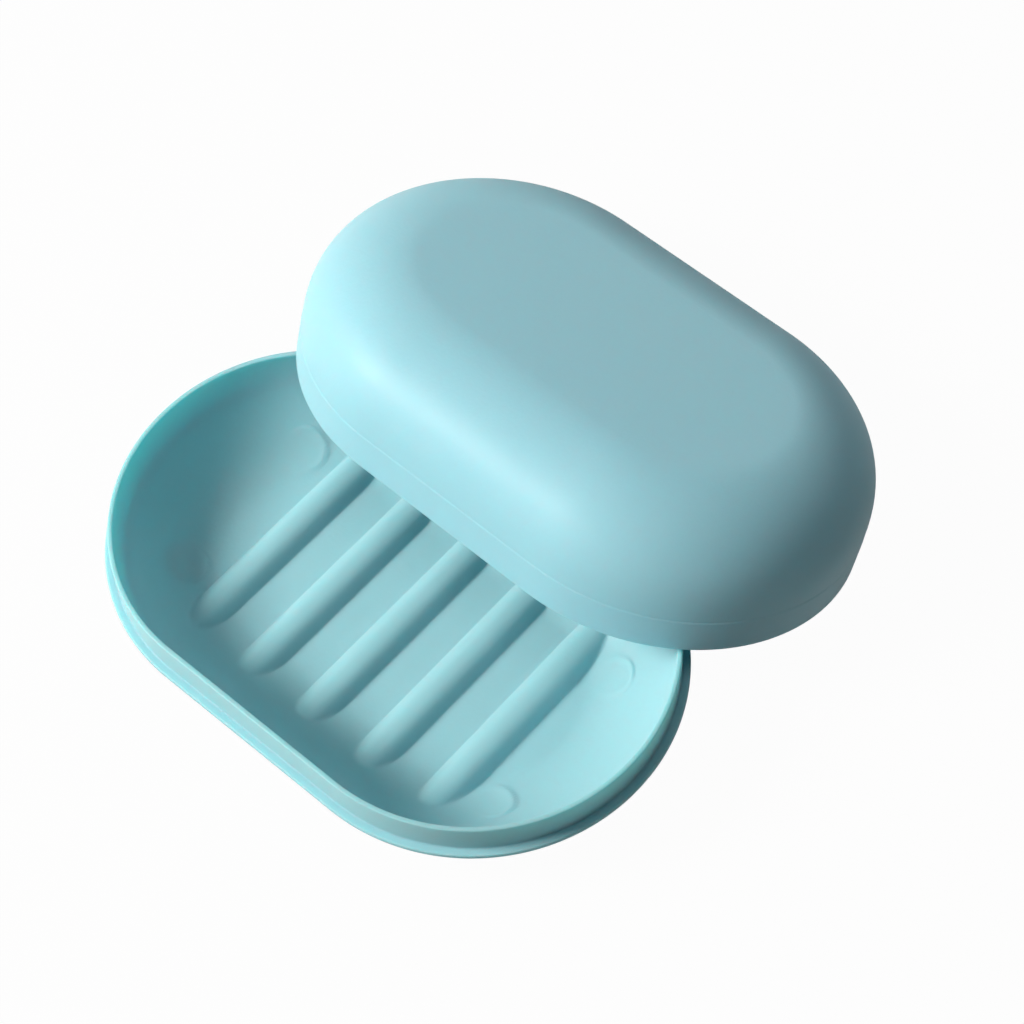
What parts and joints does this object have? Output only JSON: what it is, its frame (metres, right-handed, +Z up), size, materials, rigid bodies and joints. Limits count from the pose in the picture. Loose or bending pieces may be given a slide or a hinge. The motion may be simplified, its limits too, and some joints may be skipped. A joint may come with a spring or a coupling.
{
  "type": "soap dish",
  "caption": "Slot-shaped soap dish with a ribbed bowl, an upright rim and a domed lid that leans on the rim.",
  "frame": {"origin": "below the middle of the whole object, tray and leaning lid together, on the plane that the feet stand on", "axes": "+X along the tray's long axis, +Y from the tray towards the lid, +Z up"},
  "size_m": [0.1172, 0.1238, 0.0431],
  "materials": {
    "tray_plastic": "satin aqua, slightly translucent",
    "lid_plastic": "satin aqua, slightly translucent"
  },
  "bodies": {
    "tray": {"tray": "tray_plastic"},
    "lid": {"lid": "lid_plastic"}
  },
  "joints": [
    {"name": "lid_lift", "type": "slide", "parent": "tray", "child": "lid", "axis": [0, 0, 1], "range_m": [0, 0.06]}
  ]
}
